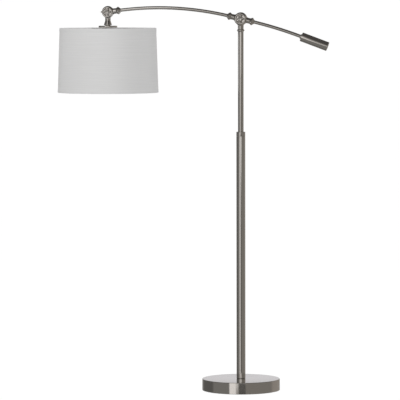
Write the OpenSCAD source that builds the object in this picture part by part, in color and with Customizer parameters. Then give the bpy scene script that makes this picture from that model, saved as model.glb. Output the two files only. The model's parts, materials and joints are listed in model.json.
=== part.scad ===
// Pharmacy floor lamp. A weighted round base carries a telescoping pole. An arched arm with a
// counterweight tilts on a clamped ball knuckle at the pole's top, and a drum shade hangs from a
// second, smaller knuckle at the arm's tip.
// The origin is the middle of the base's underside. +Z is up, the shade is towards -X and the
// clamp knobs face -Y.

/* [Base] */
// Diameter of the base cover
base_d = 308; // [290:1:340]
// Height of the base cover's top above the floor
base_h = 46; // [42:1:55]
// Thickness of the cast iron weight
weight_t = 24; // [20:1:26]
// Thickness of the felt under the base
felt_t = 3; // [2:0.5:4]

/* [Pole] */
// Diameter of the lower tube
lower_d = 35.2; // [34:0.1:37]
// Height of the lower tube's top above the floor
lower_top = 1011; // [900:1:1050]
// Diameter of the upper tube
upper_d = 22.2; // [20:0.1:22.5]
// Height of the twist collar
collar_h = 17; // [16:0.5:22]
// Length of the nylon guide bush at the lower tube's top
bush_l = 80; // [50:1:120]

/* [Knuckles] */
// Height of the post knuckle's centre above the floor
post_z = 1474.5; // [1400:0.5:1600]
// Radius of the post knuckle's ball
post_r = 26; // [25:0.5:28]
// Radius of the shade knuckle's ball
shade_ball_r = 24; // [23.5:0.5:26]
// Radius of the arm necks
neck_r = 11.1; // [10.8:0.1:12]
// Number of lobes on each clamp knob
knob_lobes = 5; // [4:1:6]

/* [Arm] */
// Horizontal distance between the two knuckles
arm_reach = 532; // [450:1:600]
// Diameter of the arm rods
arm_d = 13.3; // [12:0.1:14]
// Slope of the arm at the post knuckle, in degrees
arm_slope = 13.4; // [10:0.1:15]
// Slope of the arm at the shade knuckle, in degrees
tip_slope = 7.6; // [5:0.1:9]
// Horizontal distance from the pole to the counterweight
weight_reach = 241.2; // [200:0.1:300]
// Slope of the counterweight, in degrees
weight_slope = 20.6; // [18:0.1:24]
// Diameter of the counterweight
weight_d = 36.3; // [30:0.1:40]
// Length of the counterweight
weight_l = 111; // [90:1:130]

/* [Shade] */
// Diameter of the shade at its top
shade_top_d = 385.5; // [360:0.5:400]
// Diameter of the shade at its bottom
shade_bottom_d = 401.5; // [380:0.5:420]
// Height of the shade
shade_h = 255.4; // [240:0.1:290]
// Height of the trim bands at the shade's rims
trim_h = 12; // [8:1:16]
// Diameter of the cap disc over the shade
cap_d = 74; // [60:1:90]

/* [Hidden] */
$fn = 96;

// Radial clearance of shafts in their bores, and the gap between pieces that pass each other
fit = 0.05;
gap = 0.3;

// Base
base_r = base_d / 2;
cover_t = 1.6;
cover_edge = 2.5;
cover_rim_z = 1;
weight_r = base_r - cover_t - 1;
weight_top = felt_t + weight_t;
boss_r = 34;
pocket_r = 24;
pocket_top = weight_top + 2;
stem_r = 5;
stem_bore = 3.5;
stem_bottom = pocket_top - 10;
stem_top = base_h + 28;
base_washer_r = 18;
base_washer_t = 2;
base_nut_h = 6;
nut_r = 9.2;

// Leads, and the gland where the mains cord comes in
lead_r = 2.2;
cord_z = 10.6;
bend_r = stem_bottom - cord_z + 0.5;
channel_w = 18;
channel_top = 19;
gland_bore = 3.6;
gland_r = 6;
gland_flange_r = 7.5;
gland_in = base_r - 8;
gland_out = base_r + 2.5;

// Pole
lower_r = lower_d / 2;
lower_bore = lower_r - 1.5;
upper_r = upper_d / 2;
upper_bore = upper_r - 1.2;
foot_h = 30;
collar_top = lower_top + collar_h;
spigot_r = lower_r - 3;
spigot_h = 5.5;
collet_z = lower_top + spigot_h + 0.5;
collet_top = collar_top - 3.5;
collet_r = spigot_r - gap;
collet_cone = 2.5;
glide_l = 22;
glide_lip = 2;
glide_top = lower_top - bush_l - gap;
glide_z = glide_top - glide_l;
upper_bottom = glide_z + glide_lip;
slack_bottom = base_h + 65;
slack_r = 8;

// Post knuckle and the swivel under it
bead_s = 45.5;
bead_r = 14.65;
bead_h = 10;
bead_rim = 1.5;
post_neck_r = 11.4;
post_neck_end = bead_s + bead_h / 2;
upper_top = post_z - post_neck_end - gap;
pin_r = 7;
pin_top = post_z - post_r - 4;
pin_groove_r = 5.5;
pin_groove_h = 5;
plug_l = 30;
screw_r = 2;

// Both knuckles: distances along an axis are from the ball's centre
half_gap = 0.3;
pivot_r = 4;
hub_r = 8;
groove_wall = 4.5;
cup_t = 2;
knob_l = 12;
neck_end = 46;
tip_neck_end = 43;
ferrule_l = 10;
ferrule_in = 8;
rod_in = 14;

// Arm
arm_r = arm_d / 2;
arm_bore = arm_r - 1.6;
socket_gap = 0.2;
bend_arm_r = (arm_reach - neck_end * cos(arm_slope) - tip_neck_end * cos(tip_slope))
    / (sin(arm_slope) + sin(tip_slope));
shade_rise = neck_end * sin(arm_slope) + bend_arm_r * (cos(tip_slope) - cos(arm_slope))
    - tip_neck_end * sin(tip_slope);
shade_z = post_z + shade_rise;
tail_arm_r = (weight_reach - neck_end * cos(arm_slope)) / (sin(weight_slope) - sin(arm_slope));
weight_z = post_z - neck_end * sin(arm_slope)
    - tail_arm_r * (cos(arm_slope) - cos(weight_slope));
weight_edge = 1;
weight_socket = 25;
weight_collar_r = 9.5;
weight_collar_l = 4.5;
thumb_y = 6;
thumb_r = 1.75;
thumb_root = 28;
thumb_tip = 33.5;

// Stem and shade: heights are below the shade knuckle's centre
bell_top = 34;
bell_s = 51;
cap_s = 54.6;
cap_t = 8;
hub_s = cap_s + cap_t;
hub_plate_t = 2.4;
shade_s = hub_s + 1.4;
skin_t = 0.8;
trim_t = 0.6;
shade_flare = (shade_bottom_d - shade_top_d) / 2 / shade_h;
wire_r = 1.8;
spoke_r = 1.6;
spider_s = shade_s + 2.2;
spider_hub_r = 14;
spokes = 3;
top_wire_r = shade_top_d / 2 - trim_t - 2 * skin_t - wire_r - 0.1;
bottom_wire_s = shade_s + shade_h - 2.2;
bottom_wire_r = shade_bottom_d / 2 - trim_t - 2 * skin_t - wire_r - 0.2;
spider_nut_h = 4;
spider_nut_s = hub_s + hub_plate_t;

// Lamp holder and bulb: heights are below the shade knuckle's centre
holder_s = spider_nut_s + spider_nut_h + 0.5;
holder_cap_h = 15;
shell_s = holder_s + holder_cap_h;
shell_h = 41;
holder_r = 16.5;
holder_t = 0.8;
insulator_r = holder_r - holder_t - 0.2;
bulb_thread_r = 13;
bulb_base_s = shell_s + 14;
bulb_base_h = 26;
bulb_neck_s = bulb_base_s + bulb_base_h;
bulb_r = 30;
bulb_centre_s = bulb_neck_s + 50;
key_s = shell_s + 8;
key_r = 2;
key_reach = 38;

// Frames: each one puts its children's +Z along an axis of the lamp
module at_post() { translate([0, 0, post_z]) children(); }
module at_shade() { translate([-arm_reach, 0, shade_z]) children(); }
module along(angle) { rotate([0, 90 - angle, 0]) children(); }
module forward() { rotate([90, 0, 0]) children(); }
module backward() { rotate([-90, 0, 0]) children(); }
module below() { mirror([0, 0, 1]) children(); }

// A round tube with a bore
module pipe(outer, bore, length) {
    difference() {
        cylinder(r = outer, h = length);
        translate([0, 0, -1]) cylinder(r = bore, h = length + 2);
    }
}

// A disc with its far edge rounded
module rounded_disc(radius, height, edge) {
    rotate_extrude() intersection() {
        square([radius, height]);
        union() {
            square([radius - edge, height]);
            square([radius, height - edge]);
            translate([radius - edge, height - edge]) circle(edge);
        }
    }
}

// A rod bent to a round arc in the XZ plane, between two angles from the vertical
module bent_rod(centre, bend, from_angle, to_angle, outer, bore) {
    translate([centre[0], 0, centre[1]]) rotate([90, 0, 0])
        rotate([0, 0, 90 - to_angle]) rotate_extrude(angle = to_angle - from_angle, $fn = 720)
            translate([bend, 0]) difference() {
                circle(outer, $fn = 48);
                if (bore > 0) circle(bore, $fn = 48);
            }
}

// ---- Base ----

module base_cover() {
    color("silver") difference() {
        translate([0, 0, cover_rim_z]) rounded_disc(base_r, base_h - cover_rim_z, cover_edge);
        translate([0, 0, -1]) rounded_disc(base_r - cover_t, base_h - cover_t + 1, cover_edge - 1);
        cylinder(r = stem_r + fit, h = base_h + 1);
        translate([0, base_r - 10, cord_z]) backward() cylinder(r = gland_r + fit, h = 20);
    }
}

module base_weight() {
    color("dimgray") difference() {
        union() {
            translate([0, 0, felt_t]) cylinder(r = weight_r, h = weight_t);
            translate([0, 0, felt_t]) cylinder(r = boss_r, h = base_h - cover_t - felt_t);
        }
        translate([0, 0, felt_t - 1]) cylinder(r = pocket_r, h = pocket_top - felt_t + 1);
        cylinder(r = stem_r + fit, h = base_h);
        translate([-channel_w / 2, 0, felt_t - 1])
            cube([channel_w, base_r, channel_top - felt_t + 1]);
    }
}

module base_felt() { color("black") cylinder(r = weight_r - 1, h = felt_t); }

module base_stem() {
    color("goldenrod") translate([0, 0, stem_bottom])
        pipe(stem_r, stem_bore, stem_top - stem_bottom);
}

module base_washer() {
    color("gray") translate([0, 0, pocket_top - base_washer_t])
        pipe(base_washer_r, stem_r + fit, base_washer_t);
}

module base_nut() {
    color("gray") translate([0, 0, pocket_top - base_washer_t - base_nut_h]) difference() {
        cylinder(r = nut_r, h = base_nut_h, $fn = 6);
        translate([0, 0, -1]) cylinder(r = stem_r + fit, h = base_nut_h + 2);
    }
}

// A snap-in bushing: its flanges grip the curved wall from both sides
module cord_gland() {
    color("black") difference() {
        union() {
            translate([0, gland_in, cord_z]) backward() cylinder(r = gland_r, h = base_r - gland_in);
            difference() {
                translate([0, base_r - 1, cord_z]) backward()
                    cylinder(r = gland_flange_r, h = gland_out - base_r + 1);
                cylinder(r = base_r + fit, h = base_h);
            }
            intersection() {
                translate([0, gland_in + 2, cord_z]) backward()
                    cylinder(r = gland_flange_r - 0.5, h = 10);
                cylinder(r = base_r - cover_t - fit, h = base_h);
            }
        }
        translate([0, gland_in - 1, cord_z]) backward() cylinder(r = gland_bore, h = 20);
    }
}

// In from the gland under the weight, round a bend and up the hollow stem
module base_lead() {
    color("dimgray") {
        translate([0, bend_r, cord_z]) backward()
            cylinder(r = lead_r, h = gland_in - 2 - bend_r, $fn = 24);
        translate([0, bend_r, cord_z + bend_r]) rotate([90, 0, -90]) rotate([0, 0, -90])
            rotate_extrude(angle = 90) translate([bend_r, 0]) circle(lead_r, $fn = 24);
        translate([0, 0, cord_z + bend_r])
            cylinder(r = lead_r, h = slack_bottom - cord_z - bend_r, $fn = 24);
    }
}

// ---- Pole ----

module pole_foot() {
    color("gray") translate([0, 0, base_h]) pipe(lower_bore - fit, stem_r + fit, foot_h);
}

module lower_tube() {
    color("silver") translate([0, 0, base_h]) pipe(lower_r, lower_bore, lower_top - base_h);
}

// The coiled lead in the lower tube, as its outer shape: it closes up as the pole comes down
module slack_lead() {
    color("dimgray") translate([0, 0, slack_bottom])
        cylinder(r = slack_r, h = glide_z - slack_bottom);
}

module guide_bush() {
    color("white") difference() {
        union() {
            translate([0, 0, lower_top - bush_l]) cylinder(r = lower_bore - fit, h = bush_l);
            translate([0, 0, lower_top]) cylinder(r = spigot_r, h = spigot_h);
        }
        translate([0, 0, lower_top - bush_l - 1]) cylinder(r = upper_r + fit, h = bush_l + 20);
    }
}

module lock_collet() {
    slit = 2;
    color("white") difference() {
        rotate_extrude() polygon([
            [upper_r + fit, collet_z],
            [collet_r, collet_z],
            [collet_r, collet_top - collet_cone],
            [collet_r - collet_cone, collet_top],
            [upper_r + fit, collet_top]
        ]);
        translate([0, -slit / 2, collet_z - 1]) cube([lower_r, slit, collar_h]);
    }
}

module height_collar() {
    lip_z = collar_top - 3;
    color("silver") rotate_extrude() polygon([
        [spigot_r + fit, lower_top + gap],
        [lower_r, lower_top + gap],
        [lower_r, collar_top - 1.2],
        [lower_r - 1.2, collar_top],
        [upper_r + gap, collar_top],
        [upper_r + gap, lip_z],
        [collet_r - collet_cone + gap, lip_z],
        [spigot_r + fit, lip_z - collet_cone]
    ]);
}

module upper_tube() {
    color("silver") translate([0, 0, upper_bottom]) pipe(upper_r, upper_bore, upper_top - upper_bottom);
}

module tube_glide() {
    color("white") difference() {
        translate([0, 0, glide_z]) cylinder(r = lower_bore - fit, h = glide_l);
        translate([0, 0, upper_bottom]) cylinder(r = upper_r + fit, h = glide_l);
        translate([0, 0, glide_z - 1]) cylinder(r = upper_bore - 2, h = glide_l);
    }
}

// Plug in the upper tube, with the grooved pin that the post knuckle turns on
module head_plug() {
    pin_z = upper_top;
    groove_z = post_z - bead_s - pin_groove_h / 2;
    color("gray") difference() {
        union() {
            translate([0, 0, upper_top - plug_l]) cylinder(r = upper_bore - fit, h = plug_l);
            translate([0, 0, pin_z]) cylinder(r = pin_r, h = pin_top - pin_z);
        }
        translate([0, 0, groove_z]) pipe(pin_r + 1, pin_groove_r, pin_groove_h);
        translate([0, 0, upper_top - plug_l - 1]) cylinder(r = stem_bore, h = 100);
    }
}

module upper_lead() {
    color("dimgray") translate([0, 0, glide_z]) cylinder(r = lead_r, h = pin_top - glide_z, $fn = 24);
}

// ---- Knuckle pieces, shared by both knuckles ----

// How far the flats are from the ball's centre: the knob's side in front, the bolt's head behind
function front_flat(ball_r) = 0.56 * ball_r;
function back_flat(ball_r) = 0.77 * ball_r;

// The room inside a ball for the lead, and the pivot's bore
module ball_hollow(ball_r, bore) {
    depth = 0.38 * ball_r;
    backward() {
        translate([0, 0, -depth]) pipe(ball_r - groove_wall, hub_r, 2 * depth);
        translate([0, 0, -ball_r]) cylinder(r = bore, h = 2 * ball_r);
    }
}

// The half of space in front of the split (side -1) or behind it (side 1)
module half_space(side, from_split) {
    size = 200;
    translate([-size / 2, side > 0 ? from_split : -from_split - size, -size / 2])
        cube([size, size, size]);
}

// A turned neck from the ball outward, with a flared root
module neck(ball_r, radius, length) {
    flare = 10;
    flare_w = 1.5;
    root = ball_r - 1;
    rotate_extrude() {
        translate([0, root - 8]) square([radius, length - root + 8]);
        translate([0, root - 2]) difference() {
            square([radius + flare_w, flare + 2]);
            translate([radius + flare, flare + 2]) circle(flare);
        }
    }
}

// One half of a ball with its necks as children: the necks pass clear round the other half
module ball_half(ball_r, side, bore) {
    flat = side > 0 ? back_flat(ball_r) : front_flat(ball_r);
    difference() {
        union() {
            intersection() {
                sphere(ball_r);
                half_space(side, half_gap);
                half_space(-side, -flat);
            }
            difference() {
                children();
                intersection() {
                    sphere(ball_r + 0.35);
                    half_space(-side, -half_gap);
                }
            }
        }
        ball_hollow(ball_r, bore);
    }
}

// Pointed collar that locks a rod in its neck, drawn from the neck's end
module ferrule(length) {
    tip_r = 15.3;
    tip_w = 1.5;
    rotate_extrude() difference() {
        polygon([
            [0, -ferrule_in],
            [neck_r - 0.5, -ferrule_in],
            [neck_r, -ferrule_in + 1],
            [tip_r - 0.6, -tip_w],
            [tip_r, -tip_w + 0.6],
            [tip_r, tip_w - 0.6],
            [tip_r - 0.6, tip_w],
            [arm_r + 1.4, length - 1.5],
            [arm_r + 0.8, length],
            [0, length]
        ]);
        translate([0, -ferrule_in - 1]) square([arm_r + socket_gap, length + ferrule_in + 2]);
    }
}

module pivot_bolt(ball_r) {
    head_r = 0.5 * ball_r;
    head_h = 6;
    seat = back_flat(ball_r) + 1.2;
    tip = front_flat(ball_r) + cup_t + knob_l - 3;
    color("silver") backward() {
        translate([0, 0, -tip]) cylinder(r = pivot_r, h = tip + seat + 1);
        translate([0, 0, seat]) rounded_disc(head_r, head_h, 4);
    }
}

module spring_washer(ball_r) {
    color("gray") translate([0, back_flat(ball_r) + fit, 0]) backward()
        pipe(0.42 * ball_r, pivot_r + fit, 1.1);
}

module friction_washer() {
    color("sienna") translate([0, -half_gap, 0]) backward() pipe(hub_r, pivot_r + fit, 2 * half_gap);
}

// Cup in front of the ball that rings the knob
module knob_cup(ball_r) {
    outer = 0.8 * ball_r;
    inner = 0.66 * ball_r;
    rim = 5;
    color("silver") translate([0, -front_flat(ball_r), 0]) forward() difference() {
        rounded_disc(outer, rim, 1.2);
        translate([0, 0, cup_t]) cylinder(r = inner, h = rim);
        translate([0, 0, -1]) cylinder(r = pivot_r + fit, h = rim);
    }
}

module clamp_knob(ball_r) {
    lobe_r = 0.61 * ball_r;
    hub = 0.3 * ball_r;
    color("silver") translate([0, -front_flat(ball_r) - cup_t - 0.1, 0]) forward() difference() {
        union() {
            linear_extrude(knob_l - 2.5) difference() {
                circle(lobe_r);
                for (i = [0 : knob_lobes - 1])
                    rotate((i + 0.5) * 360 / knob_lobes) translate([lobe_r, 0]) circle(0.34 * lobe_r);
            }
            rounded_disc(hub, knob_l, 1.5);
        }
        translate([0, 0, -1]) cylinder(r = pivot_r + fit, h = knob_l - 1.5);
    }
}

// ---- Post knuckle ----

module post_knuckle_front() {
    color("silver") at_post() difference() {
        ball_half(post_r, -1, pivot_r + fit) below() {
            neck(post_r, post_neck_r, post_neck_end);
            rotate_extrude() polygon([
                [0, bead_s - bead_h / 2],
                [post_neck_r, bead_s - bead_h / 2],
                [bead_r, bead_s - bead_rim],
                [bead_r, bead_s + bead_rim],
                [post_neck_r, bead_s + bead_h / 2],
                [0, bead_s + bead_h / 2]
            ]);
        }
        below() translate([0, 0, post_r + 3.5]) cylinder(r = pin_r + fit, h = 30);
        translate([0, 0, -bead_s]) backward() cylinder(r = screw_r + fit, h = 20);
    }
}

// Set screw behind the bead: its tip rides in the pin's groove
module swivel_screw() {
    color("gray") at_post() translate([0, pin_groove_r + 0.5, -bead_s]) backward()
        cylinder(r = screw_r, h = bead_r - pin_groove_r - 1);
}

module post_pivot_bolt() { at_post() pivot_bolt(post_r); }
module post_spring_washer() { at_post() spring_washer(post_r); }
module post_knob_cup() { at_post() knob_cup(post_r); }
module post_knob() { at_post() clamp_knob(post_r); }
module post_friction_washer() { at_post() friction_washer(); }

module post_knuckle_back() {
    neck_length = neck_end - ferrule_in;
    color("silver") at_post() difference() {
        ball_half(post_r, 1, pivot_r + fit) {
            along(-arm_slope) neck(post_r, neck_r, neck_length);
            along(180 - arm_slope) neck(post_r, neck_r, neck_length);
        }
        for (angle = [-arm_slope, 180 - arm_slope])
            along(angle) translate([0, 0, neck_end - rod_in]) cylinder(r = arm_r + socket_gap, h = 20);
    }
}

// ---- Arm ----

module left_ferrule() {
    color("silver") at_post() along(180 - arm_slope) translate([0, 0, neck_end]) ferrule(ferrule_l);
}

module right_ferrule() {
    color("silver") at_post() along(-arm_slope) translate([0, 0, neck_end]) ferrule(ferrule_l);
}

module left_arc(outer, bore) {
    centre = [
        -neck_end * cos(arm_slope) - bend_arm_r * sin(arm_slope),
        post_z + neck_end * sin(arm_slope) - bend_arm_r * cos(arm_slope)
    ];
    inside = (rod_in - 1) / bend_arm_r * 180 / PI;
    bent_rod(centre, bend_arm_r, -tip_slope - inside, arm_slope + inside, outer, bore);
}

module left_arm_rod() { color("silver") left_arc(arm_r, arm_bore); }

module arm_lead() { color("dimgray") left_arc(lead_r, 0); }

module right_arm_rod() {
    centre = [
        neck_end * cos(arm_slope) - tail_arm_r * sin(arm_slope),
        post_z - neck_end * sin(arm_slope) - tail_arm_r * cos(arm_slope)
    ];
    neck_inside = (rod_in - 1) / tail_arm_r * 180 / PI;
    weight_inside = (weight_socket - 1) / tail_arm_r * 180 / PI;
    color("silver") bent_rod(centre, tail_arm_r, arm_slope - neck_inside,
        weight_slope + weight_inside, arm_r, arm_bore);
}

module at_weight() {
    translate([weight_reach, 0, weight_z]) along(-weight_slope) children();
}

module counterweight_collar() {
    color("silver") at_weight() translate([0, 0, -weight_collar_l])
        pipe(weight_collar_r, arm_r + socket_gap, weight_collar_l);
}

module counterweight() {
    half = weight_d / 2;
    color("silver") at_weight() difference() {
        rotate_extrude() polygon([
            [0, 0],
            [half - weight_edge, 0],
            [half, weight_edge],
            [half, weight_l - weight_edge],
            [half - weight_edge, weight_l],
            [0, weight_l]
        ]);
        translate([0, 0, -1]) cylinder(r = arm_r + gap, h = weight_socket + 1);
    }
}

// ---- Shade knuckle ----

module shade_knuckle_back() {
    neck_length = tip_neck_end - ferrule_in;
    color("silver") at_shade() difference() {
        ball_half(shade_ball_r, 1, pivot_r + fit) along(tip_slope) neck(shade_ball_r, neck_r, neck_length);
        along(tip_slope) translate([0, 0, tip_neck_end - rod_in]) cylinder(r = arm_r + socket_gap, h = 20);
        translate([0, thumb_y, 0]) along(180) cylinder(r = thumb_r + fit, h = 40);
    }
}

module shade_ferrule() {
    color("silver") at_shade() along(tip_slope) translate([0, 0, tip_neck_end]) ferrule(ferrule_l);
}

module shade_friction_washer() { at_shade() friction_washer(); }

// Small level screw with a flat head, on the side away from the arm: it bears on the pivot bolt
module thumb_screw() {
    head_w = 10;
    head_t = 2;
    root_r = 3.3;
    shank_in = pivot_r + 3;
    color("silver") at_shade() translate([0, thumb_y, 0]) along(180) {
        translate([0, 0, shank_in]) cylinder(r = thumb_r, h = thumb_root - shank_in, $fn = 32);
        translate([0, 0, shade_ball_r + 1]) cylinder(r = root_r, h = thumb_root - shade_ball_r - 0.5, $fn = 32);
        translate([-head_t / 2, -head_w / 2, thumb_root]) cube([head_t, head_w, thumb_tip - thumb_root]);
    }
}

module shade_knuckle_front() {
    stem_neck_r = 10.8;
    bell_r = 15.8;
    bell_rim = 0.8;
    color("silver") at_shade() difference() {
        ball_half(shade_ball_r, -1, pivot_r + fit) below() {
            neck(shade_ball_r, stem_neck_r, cap_s);
            rotate_extrude() polygon([
                [0, bell_top],
                [stem_neck_r, bell_top],
                [bell_r, bell_s - bell_rim],
                [bell_r, bell_s + bell_rim],
                [bell_r - bell_rim, bell_s + 2 * bell_rim],
                [0, bell_s + 2 * bell_rim]
            ]);
        }
        below() translate([0, 0, cap_s - 18]) cylinder(r = stem_r + fit, h = 30);
    }
}

module shade_pivot_bolt() { at_shade() pivot_bolt(shade_ball_r); }
module shade_spring_washer() { at_shade() spring_washer(shade_ball_r); }
module shade_knob_cup() { at_shade() knob_cup(shade_ball_r); }
module shade_knob() { at_shade() clamp_knob(shade_ball_r); }

// ---- Stem and shade frame ----

module shade_cap() {
    wall = 2.2;
    cap_hub_r = 13;
    color("silver") at_shade() below() difference() {
        translate([0, 0, cap_s + cap_t]) mirror([0, 0, 1]) rounded_disc(cap_d / 2, cap_t, 2);
        translate([0, 0, cap_s + wall]) pipe(cap_d / 2 - wall, cap_hub_r, cap_t);
        translate([0, 0, cap_s - 1]) cylinder(r = stem_r + fit, h = cap_t + 2);
    }
}

module stem_nipple() {
    top = cap_s - 17;
    color("goldenrod") at_shade() below() translate([0, 0, top])
        pipe(stem_r, stem_bore, holder_s + 8 - top);
}

// Hub plate, spokes and top ring, welded into one frame
module shade_spider() {
    color("gray") at_shade() below() {
        translate([0, 0, hub_s]) pipe(spider_hub_r, stem_r + fit, hub_plate_t);
        for (i = [0 : spokes - 1])
            rotate([0, 0, i * 360 / spokes]) translate([nut_r + 1, 0, spider_s]) rotate([0, 90, 0])
                cylinder(r = spoke_r, h = top_wire_r - nut_r - 1, $fn = 24);
        translate([0, 0, spider_s]) rotate_extrude($fn = 180) translate([top_wire_r, 0])
            circle(wire_r, $fn = 24);
    }
}

module spider_nut() {
    color("gray") at_shade() below() translate([0, 0, spider_nut_s]) difference() {
        cylinder(r = nut_r, h = spider_nut_h, $fn = 6);
        translate([0, 0, -1]) cylinder(r = stem_r + fit, h = spider_nut_h + 2);
    }
}

// A cone-shaped skin of the shade, between two depths below its top rim
module shade_skin(inset, thickness, from, to) {
    top_r = shade_top_d / 2 - inset;
    at_shade() below() translate([0, 0, shade_s]) rotate_extrude($fn = 180) polygon([
        [top_r - thickness + from * shade_flare, from],
        [top_r + from * shade_flare, from],
        [top_r + to * shade_flare, to],
        [top_r - thickness + to * shade_flare, to]
    ]);
}

module shade_lining() { color("white") shade_skin(trim_t + skin_t, skin_t, 0, shade_h); }
module shade_fabric() { color("whitesmoke") shade_skin(trim_t, skin_t, 0, shade_h); }
module shade_top_trim() { color("gainsboro") shade_skin(0, trim_t, 0, trim_h); }
module shade_bottom_trim() { color("gainsboro") shade_skin(0, trim_t, shade_h - trim_h, shade_h); }

module shade_bottom_ring() {
    color("gray") at_shade() below() translate([0, 0, bottom_wire_s]) rotate_extrude($fn = 180)
        translate([bottom_wire_r, 0]) circle(wire_r, $fn = 24);
}

// ---- Lamp holder and bulb ----

module socket_cap() {
    shoulder = 8;
    color("goldenrod") at_shade() below() rotate_extrude() polygon([
        [stem_r + fit, holder_s],
        [shoulder, holder_s],
        [holder_r, holder_s + shoulder],
        [holder_r, shell_s],
        [holder_r - holder_t, shell_s],
        [holder_r - holder_t, holder_s + shoulder + 0.5],
        [shoulder, holder_s + 1.5],
        [stem_r + fit, holder_s + 1.5]
    ]);
}

module socket_shell() {
    color("goldenrod") at_shade() below() difference() {
        translate([0, 0, shell_s]) pipe(holder_r, holder_r - holder_t, shell_h);
        translate([0, 0, key_s]) rotate([0, 90, 0]) cylinder(r = key_r + 1, h = 30);
    }
}

module socket_insulator() {
    color("black") at_shade() below() difference() {
        translate([0, 0, shell_s]) cylinder(r = insulator_r, h = shell_h - 3);
        translate([0, 0, bulb_base_s - 1]) cylinder(r = bulb_thread_r + 0.4, h = shell_h);
        translate([insulator_r - 6, 0, key_s]) rotate([0, 90, 0]) cylinder(r = key_r + fit, h = 30);
    }
}

// Turn switch: a shaft into the lamp holder with a flat paddle
module socket_key() {
    paddle_w = 9;
    paddle_t = 3;
    paddle_l = 14;
    shaft_in = insulator_r - 5;
    color("black") at_shade() below() translate([0, 0, key_s]) rotate([0, 90, 0]) {
        translate([0, 0, shaft_in]) cylinder(r = key_r, h = key_reach - paddle_l + 1 - shaft_in, $fn = 32);
        translate([-paddle_w / 2, -paddle_t / 2, key_reach - paddle_l])
            cube([paddle_w, paddle_t, paddle_l]);
    }
}

module stem_lead() {
    top = cap_s - 17;
    color("dimgray") at_shade() below() translate([0, 0, top])
        cylinder(r = lead_r, h = shell_s - top, $fn = 24);
}

module bulb_base() {
    contact_r = 5;
    contact_h = 2;
    color("silver") at_shade() below() {
        translate([0, 0, bulb_base_s + contact_h])
            cylinder(r = bulb_thread_r, h = bulb_base_h - contact_h);
        translate([0, 0, bulb_base_s]) cylinder(r = contact_r, h = contact_h + 1);
    }
}

// A ball on a cone-shaped neck, as the glass's outside or, drawn smaller, its inside
module bulb_shape(wall) {
    belt = 25;
    translate([0, 0, bulb_centre_s]) sphere(bulb_r - wall);
    translate([0, 0, bulb_neck_s]) cylinder(
        r1 = bulb_thread_r + 1 - wall,
        r2 = bulb_r * cos(belt) - wall,
        h = bulb_centre_s - bulb_r * sin(belt) - bulb_neck_s
    );
}

module bulb_glass() {
    glass_t = 1;
    color("ivory") at_shade() below() difference() {
        bulb_shape(0);
        bulb_shape(glass_t);
        translate([0, 0, bulb_neck_s - 1]) cylinder(r = bulb_thread_r - 0.5, h = 3);
    }
}

base_cover();
base_weight();
base_felt();
base_stem();
base_washer();
base_nut();
cord_gland();
pole_foot();
lower_tube();
guide_bush();
lock_collet();
base_lead();
slack_lead();
height_collar();
upper_tube();
tube_glide();
head_plug();
upper_lead();
post_knuckle_front();
swivel_screw();
post_pivot_bolt();
post_spring_washer();
post_knob_cup();
post_knob();
post_knuckle_back();
post_friction_washer();
left_ferrule();
right_ferrule();
left_arm_rod();
right_arm_rod();
arm_lead();
counterweight_collar();
counterweight();
shade_knuckle_back();
shade_ferrule();
shade_friction_washer();
thumb_screw();
shade_knuckle_front();
shade_pivot_bolt();
shade_spring_washer();
shade_knob_cup();
shade_knob();
shade_cap();
stem_nipple();
shade_spider();
spider_nut();
shade_lining();
shade_fabric();
shade_top_trim();
shade_bottom_trim();
shade_bottom_ring();
socket_cap();
socket_shell();
socket_insulator();
socket_key();
stem_lead();
bulb_base();
bulb_glass();
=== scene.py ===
import json
import math

import bmesh
import bpy
import numpy as np
from mathutils import Matrix, Vector


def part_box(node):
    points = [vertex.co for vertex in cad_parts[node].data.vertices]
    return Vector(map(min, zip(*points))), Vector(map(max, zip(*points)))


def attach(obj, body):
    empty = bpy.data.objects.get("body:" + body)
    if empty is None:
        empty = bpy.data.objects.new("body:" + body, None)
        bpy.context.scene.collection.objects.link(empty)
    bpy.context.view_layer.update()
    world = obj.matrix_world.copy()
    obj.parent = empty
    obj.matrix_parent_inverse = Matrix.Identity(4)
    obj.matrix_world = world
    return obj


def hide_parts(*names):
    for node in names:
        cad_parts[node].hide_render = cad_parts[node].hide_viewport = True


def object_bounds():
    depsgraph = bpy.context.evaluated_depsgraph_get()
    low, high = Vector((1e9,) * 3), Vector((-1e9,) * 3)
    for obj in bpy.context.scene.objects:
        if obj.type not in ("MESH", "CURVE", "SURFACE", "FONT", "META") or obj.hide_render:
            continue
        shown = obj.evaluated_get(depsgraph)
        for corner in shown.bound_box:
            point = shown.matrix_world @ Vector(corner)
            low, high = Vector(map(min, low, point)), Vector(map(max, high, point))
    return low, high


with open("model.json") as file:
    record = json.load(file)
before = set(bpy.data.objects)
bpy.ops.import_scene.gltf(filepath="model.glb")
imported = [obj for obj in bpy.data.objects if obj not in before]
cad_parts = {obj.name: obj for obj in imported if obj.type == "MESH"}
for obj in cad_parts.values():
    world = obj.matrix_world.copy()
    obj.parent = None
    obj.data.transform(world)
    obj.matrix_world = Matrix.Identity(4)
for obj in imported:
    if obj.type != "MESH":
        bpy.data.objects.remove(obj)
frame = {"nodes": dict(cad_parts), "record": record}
CAD_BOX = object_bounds()
MM = 0.001

# A long lens far away, a little above the lamp and to the right of its front
CAMERA_YAW = math.radians(8)
CAMERA_PITCH = math.radians(3.71)
CAMERA_ROLL = math.radians(-0.1)
CAMERA_DISTANCE = 12.6
CAMERA_LENS = 286.0
SENSOR_WIDTH = 36
FAR_CLIP = 1000
# The middle of the view, from the middle of the lamp's box
AIM_OFFSET = Vector((0.0303, -0.0225, -0.0055))
AIM = (CAD_BOX[0] + CAD_BOX[1]) / 2 + AIM_OFFSET


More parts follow.
